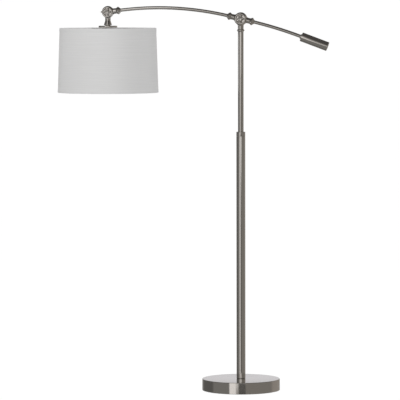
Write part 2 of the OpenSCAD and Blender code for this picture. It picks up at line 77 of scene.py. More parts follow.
def make_camera():
    data = bpy.data.cameras.new("camera")
    data.lens = CAMERA_LENS
    data.sensor_width = SENSOR_WIDTH
    data.clip_end = FAR_CLIP
    camera = bpy.data.objects.new("camera", data)
    bpy.context.scene.collection.objects.link(camera)
    back = Vector((
        math.sin(CAMERA_YAW) * math.cos(CAMERA_PITCH),
        -math.cos(CAMERA_YAW) * math.cos(CAMERA_PITCH),
        math.sin(CAMERA_PITCH),
    ))
    camera.location = AIM + back * CAMERA_DISTANCE
    turn = (-back).to_track_quat("-Z", "Y").to_matrix().to_4x4()
    camera.rotation_euler = (turn @ Matrix.Rotation(CAMERA_ROLL, 4, "Z")).to_euler()
    bpy.context.scene.camera = camera


make_camera()

# ---- Sizes in metres, read from the frame ----


def centre(node):
    low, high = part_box(node)
    return (low + high) / 2


def half_size(node, axis):
    low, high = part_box(node)
    return (getattr(high, axis) - getattr(low, axis)) / 2


def bottom(node):
    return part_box(node)[0].z


def top(node):
    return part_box(node)[1].z


# The two knuckles: the middle and radius of each ball
POST = Vector((centre("post_pivot_bolt").x, 0, centre("post_pivot_bolt").z))
TIP = Vector((centre("shade_pivot_bolt").x, 0, centre("shade_pivot_bolt").z))
POST_R = half_size("post_knuckle_back", "z")
TIP_R = top("shade_knuckle_back") - TIP.z
ARM_R = half_size("left_arm_rod", "y")

# These sizes can't be read from a node's box, so they repeat driving values of the CAD model
ARM_SLOPE = math.radians(13.4)
TIP_SLOPE = math.radians(7.6)
WEIGHT_SLOPE = math.radians(20.6)
WEIGHT_REACH = 241.2 * MM
WEIGHT_L = 111 * MM
NECK_END = 46 * MM
TIP_NECK_END = 43 * MM
NECK_R = 11.1 * MM
FERRULE_IN = 8 * MM
# The hole round the threaded stem, and half the gap between the two halves of a clamp ball
STEM_HOLE = 5.1 * MM
HALF_GAP = 0.34 * MM

UP = Vector((0, 0, 1))
DOWN = Vector((0, 0, -1))
FRONT = Vector((0, -1, 0))
BACK = Vector((0, 1, 0))


def sloped(angle, side):
    """A unit vector in the XZ plane, towards side and rising by angle."""
    return Vector((side * math.cos(angle), 0, math.sin(angle)))


LEFT_NECK = sloped(ARM_SLOPE, -1)
RIGHT_NECK = sloped(-ARM_SLOPE, 1)
TIP_NECK = sloped(TIP_SLOPE, 1)

# ---- Node trees ----


class Tree:
    """Adds nodes and links to a node tree with less writing."""

    def __init__(self, tree):
        self.tree = tree

    def add(self, kind, inputs=None, **properties):
        node = self.tree.nodes.new(kind)
        for key, value in properties.items():
            setattr(node, key, value)
        for key, value in (inputs or {}).items():
            if isinstance(value, bpy.types.NodeSocket):
                self.link(value, node.inputs[key])
            else:
                node.inputs[key].default_value = value
        return node

    def link(self, source, target):
        self.tree.links.new(source, target)

    def math(self, operation, a, b=0.0):
        return self.add("ShaderNodeMath", {0: a, 1: b}, operation=operation).outputs[0]

    def map(self, value, low, high, start, end, kind="LINEAR"):
        """value from start to end becomes low to high."""
        limits = {"Value": value, "From Min": start, "From Max": end, "To Min": low, "To Max": high}
        return self.add("ShaderNodeMapRange", limits, interpolation_type=kind).outputs["Result"]

    def mix(self, factor, a, b):
        node = self.add("ShaderNodeMix", data_type="RGBA")
        self.link(factor, node.inputs["Factor"])
        for socket, colour in ((node.inputs[6], a), (node.inputs[7], b)):
            if isinstance(colour, bpy.types.NodeSocket):
                self.link(colour, socket)
            else:
                socket.default_value = (*colour, 1)
        return node.outputs[2]

    def noise(self, vector, scale, detail=4.0, roughness=0.6):
        inputs = {"Vector": vector, "Scale": scale, "Detail": detail, "Roughness": roughness}
        return self.add("ShaderNodeTexNoise", inputs).outputs["Fac"]


class Material(Tree):
    """A material's node tree round its own shader."""

    def __init__(self, name):
        self.material = bpy.data.materials.new(name)
        self.material.use_nodes = True
        super().__init__(self.material.node_tree)
        self.shader = self.tree.nodes["Principled BSDF"]

    def set(self, **values):
        """Sets constants on the shader, and links sockets to it."""
        for key, value in values.items():
            socket = self.shader.inputs[key.replace("_", " ")]
            if isinstance(value, bpy.types.NodeSocket):
                self.link(value, socket)
            else:
                socket.default_value = value

    def place(self, space="Object", scale=(1, 1, 1)):
        coordinates = self.add("ShaderNodeTexCoord").outputs[space]
        return self.add("ShaderNodeMapping", {"Vector": coordinates, "Scale": scale}).outputs["Vector"]

    def bump(self, height, strength, distance):
        inputs = {"Height": height, "Strength": strength, "Distance": distance}
        self.set(Normal=self.add("ShaderNodeBump", inputs).outputs["Normal"])


def scaled(colour, factor):
    """A lighter or darker colour."""
    return tuple(min(1.0, c * factor) for c in colour)


# ---- Materials ----

# How fine the grain is: noise cells to the metre along the map's u and v
HAIRLINES = (25, 4500, 1)
SLUBS = (6, 260, 1)
# The pitch of the weave, and noise cells to the metre along one thread
THREAD = 0.55 * MM
THREAD_CHANGES = 18


def metal(name, colour, roughness, brushed=False):
    """Plated or bare metal. Brushed metal has hairlines round the piece, along its map's u."""
    m = Material(name)
    solid = m.place()
    hairs = m.noise(m.place("UV", HAIRLINES), 1.0, 5.0, 0.7) if brushed else m.noise(solid, 1500.0)
    smears = m.noise(solid, 22.0, 3.0, 0.5)
    worn = m.map(m.add("ShaderNodeNewGeometry").outputs["Pointiness"], 0.0, 1.0, 0.52, 0.60)
    grain = m.mix(m.map(hairs, 0.0, 1.0, 0.3, 0.7), scaled(colour, 0.96), scaled(colour, 1.03))
    m.set(Base_Color=m.mix(worn, grain, scaled(colour, 1.12)), Metallic=1.0)
    spread = 0.02 if brushed else 0.015
    fine = m.map(hairs, roughness - spread, roughness + spread, 0.3, 0.7)
    m.set(Roughness=m.math("ADD", fine, m.map(smears, -0.01, 0.015, 0.35, 0.65)))
    m.bump(hairs, 0.06 if brushed else 0.05, 0.02 * MM)
    if brushed:
        m.set(Anisotropic=0.5, Anisotropic_Rotation=0.25)
        m.set(Tangent=m.add("ShaderNodeTangent", direction_type="UV_MAP").outputs["Tangent"])
    return m.material


def moulded(name, colour, roughness, scale, depth, **values):
    """A moulded, cast, sprayed or felted surface with a fine, uneven grain."""
    m = Material(name)
    grain = m.noise(m.place(), scale, 5.0, 0.65)
    wide = m.noise(m.place(), scale / 20, 2.0, 0.5)
    both = m.math("ADD", m.math("MULTIPLY", grain, 0.7), m.math("MULTIPLY", wide, 0.3))
    m.set(Base_Color=m.mix(m.map(both, 0.0, 1.0, 0.35, 0.65), scaled(colour, 0.85), scaled(colour, 1.1)))
    m.set(Roughness=m.map(both, roughness - 0.08, roughness + 0.08, 0.35, 0.65))
    m.bump(grain, 0.5, depth)
    m.set(**values)
    return m.material


def linen(name, colour):
    """Plain weave with uneven threads: warp along the map's v, weft along its u."""
    m = Material(name)
    warp = m.noise(m.place("UV", (1 / THREAD, THREAD_CHANGES, 1)), 1.0, 2.0, 0.5)
    weft = m.noise(m.place("UV", (THREAD_CHANGES, 1 / THREAD, 1)), 1.0, 2.0, 0.5)
    split = m.add("ShaderNodeSeparateXYZ", {"Vector": m.place("UV", (math.pi / THREAD,) * 3)})
    across = m.math("ABSOLUTE", m.math("SINE", split.outputs["X"]))
    down = m.math("ABSOLUTE", m.math("SINE", split.outputs["Y"]))
    threads = m.math("MAXIMUM", m.math("MULTIPLY", across, warp), m.math("MULTIPLY", down, weft))
    slubs = m.noise(m.place("UV", SLUBS), 1.0, 3.0, 0.6)
    shade = m.math("ADD", m.map(threads, -0.5, 0.5, 0.1, 0.7), m.map(slubs, -0.4, 0.4, 0.35, 0.65))
    m.set(Base_Color=m.mix(m.map(shade, 0.0, 1.0, -0.8, 0.8), scaled(colour, 0.955), scaled(colour, 1.03)))
    m.bump(threads, 0.35, 0.12 * MM)
    m.set(Roughness=m.map(threads, 0.95, 0.8, 0.1, 0.7), Sheen_Weight=0.08, Sheen_Roughness=0.5)
    m.set(Specular_IOR_Level=0.2)
    return m.material


NICKEL = (0.600, 0.580, 0.555)
MATERIALS = {
    "brushed_nickel": metal("brushed_nickel", NICKEL, 0.10, brushed=True),
    "polished_nickel": metal("polished_nickel", NICKEL, 0.07),
    "plain_steel": metal("plain_steel", (0.50, 0.50, 0.50), 0.35),
    "brass": metal("brass", (0.72, 0.53, 0.26), 0.3),
    "bulb_metal": metal("bulb_metal", (0.75, 0.75, 0.74), 0.25),
    "cast_iron": moulded("cast_iron", (0.03, 0.03, 0.032), 0.7, 300.0, 0.4 * MM),
    "felt": moulded("felt", (0.02, 0.02, 0.022), 0.92, 900.0, 0.5 * MM, Sheen_Weight=0.2),
    "lead_jacket": moulded("lead_jacket", (0.02, 0.02, 0.02), 0.5, 400.0, 0.05 * MM),
    "nylon": moulded("nylon", (0.75, 0.75, 0.72), 0.5, 300.0, 0.03 * MM),
    "friction_fibre": moulded("friction_fibre", (0.22, 0.1, 0.05), 0.8, 900.0, 0.1 * MM),
    # The lining glows faintly: painted light that stands in for the studio light coming through the cloth and
    # brightens the shaded inside, though the lamp is off
    "shade_lining": moulded(
        "shade_lining",
        (0.92, 0.92, 0.91),
        0.45,
        250.0,
        0.02 * MM,
        Emission_Color=(1, 1, 1, 1),
        Emission_Strength=0.1,
    ),
    "shade_linen": linen("shade_linen", (0.82, 0.818, 0.815)),
    "phenolic": moulded("phenolic", (0.015, 0.015, 0.015), 0.3, 200.0, 0.02 * MM),
    "bulb_glass": moulded("bulb_glass", (0.92, 0.92, 0.90), 0.3, 200.0, 0.01 * MM),
}

SLOTS = {part["node"]: part["material_slot"] for part in frame["record"]["subparts"]}
BODIES = {}
for body, nodes in frame["record"]["behaviour"]["bodies"].items():
    BODIES.update((node_name, body) for node_name in nodes)

for node_name, slot_name in SLOTS.items():
    node = frame["nodes"][node_name]
    node.data.materials.clear()
    node.data.materials.append(MATERIALS[slot_name])


def stand_for(obj, *nodes):
    """obj replaces the nodes: it takes its body and material from the first of them."""
    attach(obj, BODIES[nodes[0]])
    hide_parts(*nodes)
    obj.data.materials.clear()
    obj.data.materials.append(MATERIALS[SLOTS[nodes[0]]])
    return obj


# ---- Mesh helpers ----


def make_object(name, vertices, faces, uvs=None, sharp=35):
    """A smooth-shaded mesh object. uvs has one (u, v) in metres for each corner, face by face."""
    mesh = bpy.data.meshes.new(name)
    mesh.from_pydata([tuple(v) for v in vertices], [], faces)
    if uvs:
        layer = mesh.uv_layers.new(name="grain")
        layer.data.foreach_set("uv", np.array(uvs, np.float32).ravel())
    bm = bmesh.new()
    bm.from_mesh(mesh)
    bmesh.ops.remove_doubles(bm, verts=bm.verts, dist=1e-7)
    bmesh.ops.dissolve_degenerate(bm, edges=bm.edges, dist=1e-8)
    bmesh.ops.recalc_face_normals(bm, faces=bm.faces)
    bm.to_mesh(mesh)
    bm.free()
    mesh.shade_smooth()
    mesh.set_sharp_from_angle(angle=math.radians(sharp))
    obj = bpy.data.objects.new(name, mesh)
    bpy.context.scene.collection.objects.link(obj)
    return obj


def rounded(points, radius, steps=5):
    """The line through (x, y) points, with each inner corner rounded."""
    points = [Vector(p) for p in points]
    line = [points[0]]
    for before, corner, after in zip(points, points[1:], points[2:]):
        back = before - corner
        ahead = after - corner
        turn = math.pi - back.angle(ahead)
        reach = min(radius * math.tan(turn / 2), 0.45 * back.length, 0.45 * ahead.length)
        start = corner + back.normalized() * reach
        end = corner + ahead.normalized() * reach
        for i in range(steps + 1):
            t = i / steps
            line.append(start * (1 - t) ** 2 + corner * 2 * t * (1 - t) + end * t * t)
    line.append(points[-1])
    return line


def frame_at(origin, direction):
    """The matrix that puts +Z along direction, from origin."""
    return Matrix.Translation(origin) @ Vector(direction).to_track_quat("Z", "Y").to_matrix().to_4x4()


def rings(rows, columns, closed):
    """Quads between rows of points that go once round, and each corner's (row, column)."""
    corners = []
    for i in range(rows if closed else rows - 1):
        for j in range(columns):
            corners += [(i, j), (i, j + 1), (i + 1, j + 1), (i + 1, j)]
    index = [(a % rows) * columns + b % columns for a, b in corners]
    return [index[i:i + 4] for i in range(0, len(index), 4)], corners


def lathe(name, outline, origin=Vector(), direction=UP, segments=96, closed=False):
    """A turned piece: (radius, height) points go round +Z, and +Z is put along direction."""
    outline = [Vector(p) for p in outline]
    place = frame_at(origin, direction)
    ends = outline + outline[:1]
    lengths = [0.0]
    for a, b in zip(ends, ends[1:]):
        lengths.append(lengths[-1] + (b - a).length)
    girth = 2 * math.pi * max(p.x for p in outline)
    vertices = []
    for p in outline:
        for j in range(segments):
            angle = 2 * math.pi * j / segments
            vertices.append(place @ Vector((p.x * math.cos(angle), p.x * math.sin(angle), p.y)))
    faces, corners = rings(len(outline), segments, closed)
    return make_object(name, vertices, faces, [(girth * b / segments, lengths[a]) for a, b in corners])


def tube(name, outer, bore, low, high, edge, segments=96):
    """A vertical tube on the lamp's axis, with its ends' edges broken."""
    middle = (low + high) / 2
    section = [(outer, middle), (outer, high), (bore, high), (bore, low), (outer, low), (outer, middle)]
    return lathe(name, rounded(section, edge)[:-1], segments=segments, closed=True)


def bent_rod(name, start, direction, end, end_direction, radius, rows=96, segments=40):
    """A round rod in the XZ plane along the arc from start to end, which is tangent to both directions."""
    turn = direction.angle(end_direction)
    side = 1 if direction.cross(end_direction).y > 0 else -1
    normal = Vector((-direction.z, 0, direction.x)) * -side
    bend = (end - start).length / (2 * math.sin(turn / 2))
    middle = start + normal * bend
    vertices = []
    for i in range(rows):
        spin = Matrix.Rotation(side * turn * i / (rows - 1), 4, "Y")
        for j in range(segments):
            angle = 2 * math.pi * j / segments
            offset = normal * -math.cos(angle) + BACK * math.sin(angle)
            vertices.append(middle + spin @ (start - middle + offset * radius))
    faces, corners = rings(rows, segments, False)
    faces += [list(range(segments)), list(range((rows - 1) * segments, rows * segments))]
    step = bend * turn / (rows - 1)
    uvs = [(2 * math.pi * radius * b / segments, step * a) for a, b in corners]
    uvs += [(0, 0)] * (2 * segments)
    return make_object(name, vertices, faces, uvs)


def casting(name, distance, low, high, cell):
    """A smooth solid from a distance function, which is negative inside: a net of quads on its surface."""
    low = np.array(low) - 2 * cell
    counts = np.ceil((np.array(high) + 2 * cell - low) / cell).astype(int) + 1
    grid = np.stack(np.meshgrid(*[np.arange(n) for n in counts], indexing="ij"), -1)
    values = distance(low + grid.reshape(-1, 3) * cell).reshape(counts)
    strides = np.array([counts[1] * counts[2], counts[2], 1])
    sums = np.zeros((values.size, 3))
    hits = np.zeros(values.size)
    quads = []
    for axis in range(3):
        ahead = np.roll(values, -1, axis)
        crossing = (values < 0) != (ahead < 0)
        crossing[(slice(None),) * axis + (-1,)] = False
        at = np.argwhere(crossing)
        here = values[crossing]
        points = at.astype(float)
        points[:, axis] += here / (here - ahead[crossing])
        a, b = strides[(axis + 1) % 3], strides[(axis + 2) % 3]
        index = at @ strides
        cells = np.stack([index - a - b, index - b, index, index - a], 1)
        for i in range(4):
            np.add.at(sums, cells[:, i], points)
            np.add.at(hits, cells[:, i], 1)
        quads.append(np.where((here < 0)[:, None], cells, cells[:, ::-1]))
    used = np.flatnonzero(hits)
    vertices = low + sums[used] / hits[used, None] * cell
    renumber = np.zeros(values.size, int)
    renumber[used] = np.arange(len(used))
    # Then each point moves onto the true surface, along the distance's slope
    small = cell / 20
    for _ in range(4):
        slope = np.stack([
            (distance(vertices + step) - distance(vertices - step)) / (2 * small)
            for step in np.eye(3) * small
        ], 1)
        length = np.maximum((slope ** 2).sum(1), 0.1)
        vertices -= np.clip(distance(vertices) / length, -cell, cell)[:, None] * slope
    faces = renumber[np.concatenate(quads)].tolist()
    return make_object(name, vertices, faces, sharp=60)


# Distance functions: points are rows of an array, and a result is negative inside


def both(a, b, edge):
    """Inside both, with an edge rounded by about edge."""
    blend = np.maximum(edge - np.abs(a - b), 0)
    return np.maximum(a, b) + blend ** 2 / (4 * edge)


def either(a, b, fillet):
    """Inside either, with a fillet where they meet."""
    return -both(-a, -b, fillet)


def without(a, b, edge):
    return both(a, -b, edge)


def along_and_off(p, origin, direction):
    """How far points are along an axis, and off it."""
    offset = p - np.array(origin)
    along = offset @ np.array(direction)
    off = np.linalg.norm(offset - along[:, None] * np.array(direction), axis=1)
    return along, off


def rod_distance(p, origin, direction, radius, start, end, edge):
    along, off = along_and_off(p, origin, direction)
    return both(both(off - radius, along - end, edge), start - along, edge)


# ---- Base ----

BASE_R = half_size("base_cover", "x")
BASE_TOP = top("base_cover")
FOOT = bottom("base_cover")
COVER_T = 1.6 * MM


def make_base():
    shoulder = 2.4 * MM
    hem_top = FOOT + 1 * MM
    outside = rounded([(STEM_HOLE, BASE_TOP), (BASE_R, BASE_TOP), (BASE_R, hem_top)], shoulder, 8)
    hem = rounded([
        (BASE_R, hem_top),
        (BASE_R, FOOT),
        (BASE_R - COVER_T, FOOT),
        (BASE_R - COVER_T, hem_top),
    ], 0.7 * MM)
    inside = rounded([
        (BASE_R - COVER_T, hem_top),
        (BASE_R - COVER_T, BASE_TOP - COVER_T),
        (STEM_HOLE, BASE_TOP - COVER_T),
    ], shoulder - COVER_T, 8)
    cover = lathe("base_shell", outside[:-1] + hem + inside[1:], segments=256, closed=True)
    stand_for(cover, "base_cover")
    felt_r = half_size("base_felt", "x")
    felt_top = top("base_felt")
    section = rounded([(0, 0), (felt_r, 0), (felt_r, felt_top), (0, felt_top)], 1 * MM)
    pad = lathe("felt_pad", section, segments=128)
    stand_for(pad, "base_felt")


# ---- Pole ----


def make_pole():
    wall, edge = 1.4 * MM, 0.5 * MM
    lower_r = half_size("lower_tube", "x")
    low, high, middle = bottom("lower_tube"), top("lower_tube"), centre("lower_tube").z
    foot = 0.9 * MM
    section = [
        (lower_r, middle),
        (lower_r, high),
        (lower_r - wall, high),
        (lower_r - wall, low),
        (lower_r - foot, low),
        (lower_r, low + 2 * foot),
        (lower_r, middle),
    ]
    lower = lathe("lower_pole", rounded(section, edge)[:-1], closed=True)
    stand_for(lower, "lower_tube")
    upper_r = half_size("upper_tube", "x")
    upper_low, upper_high = bottom("upper_tube"), top("upper_tube")
    upper = tube("upper_pole_tube", upper_r, upper_r - wall, upper_low, upper_high, edge)
    stand_for(upper, "upper_tube")
    make_collar(lower_r, upper_r)


def make_collar(outer, upper_r):
    """The twist collar: a lip round the upper tube, over a cone and a wider bore."""
    low, high, middle = bottom("height_collar"), top("height_collar"), centre("height_collar").z
    chamfer, lip_t, cone_h = 1.4 * MM, 3 * MM, 2 * MM
    lip_r = upper_r + 0.3 * MM
    bore = half_size("guide_bush", "x") - 1.5 * MM
    profile = [
        (outer, middle),
        (outer, high - chamfer),
        (outer - chamfer, high),
        (lip_r, high),
        (lip_r, high - lip_t),
        (bore, high - lip_t - cone_h),
        (bore, low),
        (outer, low),
        (outer, middle),
    ]
    stand_for(lathe("twist_collar", rounded(profile, 0.4 * MM)[:-1], closed=True), "height_collar")


# ---- Knuckles ----

CUP_T = 2 * MM
KNOB_L = 12 * MM
LOBES = 5
# Where a neck starts inside its ball, its fillet, how far a ring sinks into it, and a casting's edge
NECK_START = 8 * MM
NECK_FILLET = 4.5 * MM
INTO_NECK = 0.6 * MM
EDGE = 0.8 * MM


def front_flat(ball_r):
    """How far the flat under the knob is from the ball's middle."""
    return 0.56 * ball_r


def back_flat(ball_r):
    """How far the flat under the bolt's head is from the ball's middle."""
    return 0.77 * ball_r


def ball_half(p, middle, ball_r, side, necks, neck_r, neck_end):
    """Half a clamp ball, in front (side -1) or behind (side 1), with its necks, clear of the other half."""
    offset = p - np.array(middle)
    depth = offset[:, 1] * side
    ball = np.linalg.norm(offset, axis=1) - ball_r
    flat = back_flat(ball_r) if side > 0 else front_flat(ball_r)
    shape = both(both(ball, depth - flat, 2 * EDGE), HALF_GAP - depth, EDGE)
    for direction in necks:
        neck = rod_distance(p, middle, direction, neck_r, NECK_START, neck_end, 1.0 * MM)
        shape = either(shape, neck, NECK_FILLET)
    room_round_half, bolt_hole = 0.35 * MM, 4.2 * MM
    other_half = both(ball - room_round_half, depth - HALF_GAP, 0.5 * MM)
    shape = without(shape, other_half, EDGE)
    off = along_and_off(p, middle, BACK)[1]
    return without(shape, off - bolt_hole, 0.6 * MM)


def make_ball_half(name, node, *shape):
    low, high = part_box(node)
    stand_for(casting(name, lambda p: ball_half(p, *shape), low, high, 0.9 * MM), node)


def knob_shape(p, middle, ball_r):
    """A knob with round lobes, a raised hub and a dished face."""
    lobe_r, hub_r = 0.61 * ball_r, 0.3 * ball_r
    notch_r = 0.34 * lobe_r
    crown_l, crown_slope = KNOB_L - 2.5 * MM, 0.12
    dish_r, dish_off = 15.2 * MM, 14 * MM
    face = front_flat(ball_r) + CUP_T + 0.1 * MM
    offset = p - np.array(middle)
    along = -offset[:, 1] - face
    off = np.hypot(offset[:, 0], offset[:, 2])
    shape = off - lobe_r
    for i in range(LOBES):
        angle = 2 * math.pi * (i + 0.5) / LOBES
        notch = np.hypot(
            offset[:, 0] - lobe_r * math.cos(angle),
            offset[:, 2] - lobe_r * math.sin(angle),
        ) - notch_r
        shape = without(shape, notch, 2 * MM)
    crown = along - crown_l + crown_slope * off
    shape = both(both(shape, crown, 2.5 * MM), -along, EDGE)
    hub = both(off - hub_r, along - KNOB_L, 2 * EDGE)
    dish_middle = np.array([0, -face - KNOB_L - dish_off, 0])
    dish = np.linalg.norm(offset - dish_middle, axis=1) - dish_r
    return either(shape, without(both(hub, -along, EDGE), dish, 1 * MM), 1.5 * MM)


def make_clamp(prefix, middle, ball_r):
    """The cup, knob and bolt of one knuckle."""
    face = front_flat(ball_r)
    outer, inner, rim, bore = 0.8 * ball_r, 0.66 * ball_r, 5 * MM, 4.1 * MM
    cup = rounded([
        (bore, CUP_T / 2),
        (bore, 0),
        (outer, 0),
        (outer, rim),
        (inner, rim),
        (inner, CUP_T),
        (bore, CUP_T),
        (bore, CUP_T / 2),
    ], 1.1 * MM)
    cup = lathe(f"{prefix}_clamp_cup", cup[:-1], middle + FRONT * face, FRONT, closed=True)
    stand_for(cup, f"{prefix}_knob_cup")
    low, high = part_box(f"{prefix}_knob")
    knob = casting(f"{prefix}_lobed_knob", lambda p: knob_shape(p, middle, ball_r), low, high, 0.6 * MM)
    stand_for(knob, f"{prefix}_knob")
    bolt_low, bolt_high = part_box(f"{prefix}_pivot_bolt")
    shank_r, head_r, head_h = 4 * MM, 0.5 * ball_r, 6 * MM
    head_squash = 0.75 * head_r / head_h
    slot_half, slot_depth, into_head = 1.1 * MM, 2 * MM, 1 * MM
    seat = back_flat(ball_r) + 1.2 * MM

    def bolt_shape(p):
        along, off = along_and_off(p, middle, BACK)
        across = np.abs((p - np.array(middle))[:, 0])
        shank = both(off - shank_r, bolt_low.y - along, EDGE)
        dome = np.hypot(off, (along - seat) * head_squash) - head_r
        head = both(both(dome, along - seat - head_h, 2 * MM), seat - along, EDGE)
        shape = either(both(shank, along - seat - into_head, 0.5 * MM), head, EDGE)
        slot = np.maximum(across - slot_half, seat + head_h - slot_depth - along)
        return without(shape, slot, 0.6 * MM)

    bolt = casting(f"{prefix}_clamp_bolt", bolt_shape, bolt_low, bolt_high, 0.7 * MM)
    stand_for(bolt, f"{prefix}_pivot_bolt")


def turned_over(name, section, middle, direction):
    """A turned piece over a neck: (radius, distance from the ball's middle) goes once round."""
    return lathe(name, rounded(section, 0.7 * MM)[:-1], middle, direction, closed=True)


def make_post_knuckle():
    neck_r, bead_r, bead_s, half_h, rim = 11.4 * MM, 14.65 * MM, 45.5 * MM, 5 * MM, 1.5 * MM
    seat = neck_r - INTO_NECK
    neck_end = POST.z - bottom("post_knuckle_front")
    make_ball_half("post_clamp_front", "post_knuckle_front", POST, POST_R, -1, [DOWN], neck_r, neck_end)
    section = [
        (seat, bead_s),
        (seat, bead_s - half_h),
        (neck_r, bead_s - half_h),
        (bead_r, bead_s - rim),
        (bead_r, bead_s + rim),
        (neck_r, bead_s + half_h),
        (seat, bead_s + half_h),
        (seat, bead_s),
    ]
    stand_for(turned_over("post_bead", section, POST, DOWN), "post_knuckle_front")
    necks = [LEFT_NECK, RIGHT_NECK]
    neck_end = NECK_END - FERRULE_IN
    make_ball_half("post_clamp_back", "post_knuckle_back", POST, POST_R, 1, necks, NECK_R, neck_end)
    make_clamp("post", POST, POST_R)


def make_shade_knuckle():
    cap_s = TIP.z - top("shade_cap")
    neck_r, bell_r, bell_top, bell_s, rim = 10.8 * MM, 15.8 * MM, 34 * MM, 51 * MM, 0.8 * MM
    seat = neck_r - INTO_NECK
    make_ball_half("stem_clamp_front", "shade_knuckle_front", TIP, TIP_R, -1, [DOWN], neck_r, cap_s)
    section = [
        (seat, bell_s),
        (seat, bell_top),
        (neck_r, bell_top),
        (bell_r, bell_s - rim),
        (bell_r, bell_s + rim),
        (bell_r - rim, bell_s + 2 * rim),
        (seat, bell_s + 2 * rim),
        (seat, bell_s),
    ]
    stand_for(turned_over("stem_bell", section, TIP, DOWN), "shade_knuckle_front")
    neck_end = TIP_NECK_END - FERRULE_IN
    make_ball_half("tip_clamp_back", "shade_knuckle_back", TIP, TIP_R, 1, [TIP_NECK], NECK_R, neck_end)
    make_clamp("shade", TIP, TIP_R)


# ---- Arm ----


def make_ferrule(name, node, middle, direction, distance):
    """A collar that is widest where the neck ends, and tapers onto the neck and the rod."""
    tip_r, tip_w, length, shoulder = 15.3 * MM, 1.5 * MM, 10 * MM, 0.4 * MM
    bore = ARM_R + 0.1 * MM
    section = [
        (bore, 0),
        (bore, -FERRULE_IN),
        (NECK_R, -FERRULE_IN),
        (tip_r - shoulder, -tip_w),
        (tip_r, 0),
        (tip_r - shoulder, tip_w),
        (ARM_R + 1.4 * MM, length - 1.5 * MM),
        (ARM_R + 0.8 * MM, length),
        (bore, length),
        (bore, 0),
    ]
    section = [(radius, distance + along) for radius, along in section]
    stand_for(turned_over(name, section, middle, direction), node)


def make_arm():
    make_ferrule("left_arm_ferrule", "left_ferrule", POST, LEFT_NECK, NECK_END)
    make_ferrule("right_arm_ferrule", "right_ferrule", POST, RIGHT_NECK, NECK_END)
    make_ferrule("tip_arm_ferrule", "shade_ferrule", TIP, TIP_NECK, TIP_NECK_END)
    rod = bent_rod(
        "long_arm_rod",
        POST + LEFT_NECK * NECK_END,
        LEFT_NECK,
        TIP + TIP_NECK * TIP_NECK_END,
        -TIP_NECK,
        ARM_R,
        rows=128,
    )
    stand_for(rod, "left_arm_rod")
    # The short rod's arc starts at the neck's slope and ends at the counterweight's
    weight = Vector((WEIGHT_REACH, 0, 0))
    reach = weight.x - NECK_END * math.cos(ARM_SLOPE)
    bend = reach / (math.sin(WEIGHT_SLOPE) - math.sin(ARM_SLOPE))
    weight.z = POST.z - NECK_END * math.sin(ARM_SLOPE) - bend * (math.cos(ARM_SLOPE) - math.cos(WEIGHT_SLOPE))
    axis = sloped(-WEIGHT_SLOPE, 1)
    rod = bent_rod(
        "short_arm_rod",
        POST + RIGHT_NECK * NECK_END,
        RIGHT_NECK,
        weight,
        axis,
        ARM_R,
        rows=64,
    )
    stand_for(rod, "right_arm_rod")
    make_counterweight(weight, axis)


def make_counterweight(end, axis):
    """The solid cylinder on the short rod's end, with a shallow recess in its far face, and its collar."""
    radius = half_size("counterweight", "y")
    bore, bore_depth, recess = ARM_R + 0.3 * MM, 6 * MM, 0.8 * MM
    profile = rounded([
        (bore, bore_depth),
        (bore, 0),
        (radius, 0),
        (radius, WEIGHT_L),
        (0.62 * radius, WEIGHT_L),
        (0.58 * radius, WEIGHT_L - recess),
        (0, WEIGHT_L - recess),
    ], 0.9 * MM)
    stand_for(lathe("weight_cylinder", profile, end, axis), "counterweight")
    collar_r, collar_l, into_weight = 9.5 * MM, 4.5 * MM, 0.2 * MM
    profile = rounded([
        (ARM_R, -collar_l),
        (collar_r, -collar_l),
        (collar_r, into_weight),
        (ARM_R, into_weight),
    ], 0.8 * MM)
    stand_for(lathe("weight_collar", profile, end, axis, closed=True), "counterweight_collar")


# ---- Shade ----

SHADE_TOP = top("shade_fabric")
SHADE_BOTTOM = bottom("shade_fabric")
SHADE_H = SHADE_TOP - SHADE_BOTTOM
TRIM_T = 0.6 * MM
SKIN_T = 0.8 * MM
TRIM_H = 12 * MM
# How much the shade's radius grows for each unit down, as in the CAD model
FLARE = 8 / 255.4
RIM_BOTTOM_R = half_size("shade_bottom_trim", "y")
RIM_TOP_R = half_size("shade_top_trim", "y") - TRIM_H * FLARE


def shade_radius(down):
    """The radius of the shade's outside at a distance below its top rim."""
    return RIM_TOP_R + (RIM_BOTTOM_R - RIM_TOP_R) * down / SHADE_H


def seam_lift(angle, height):
    """How far the lapped seam at the shade's back stands out at that angle."""
    half_w, slope_w = 9 * MM, 2 * MM
    arc = abs(angle - math.pi / 2) * RIM_BOTTOM_R
    return height * max(0.0, min(1.0, (half_w - arc) / slope_w))


def band(name, layers, segments=256, seam=0.0):
    """A skin round the shade: layers holds (depth below the outside, distance down), once round."""
    vertices = []
    girth = 2 * math.pi * RIM_BOTTOM_R
    for inset, down in layers:
        outer_seam = seam if inset < TRIM_T + SKIN_T / 2 else 0.0
        for j in range(segments):
            angle = 2 * math.pi * j / segments
            r = shade_radius(down) - inset + seam_lift(angle, outer_seam)
            vertices.append((TIP.x + r * math.cos(angle), r * math.sin(angle), SHADE_TOP - down))
    faces, corners = rings(len(layers), segments, True)
    lengths = [0.0]
    for a, b in zip(layers, layers[1:] + layers[:1]):
        lengths.append(lengths[-1] + math.hypot(a[0] - b[0], a[1] - b[1]))
    uvs = [(girth * b / segments, lengths[a]) for a, b in corners]
    return make_object(name, vertices, faces, uvs)


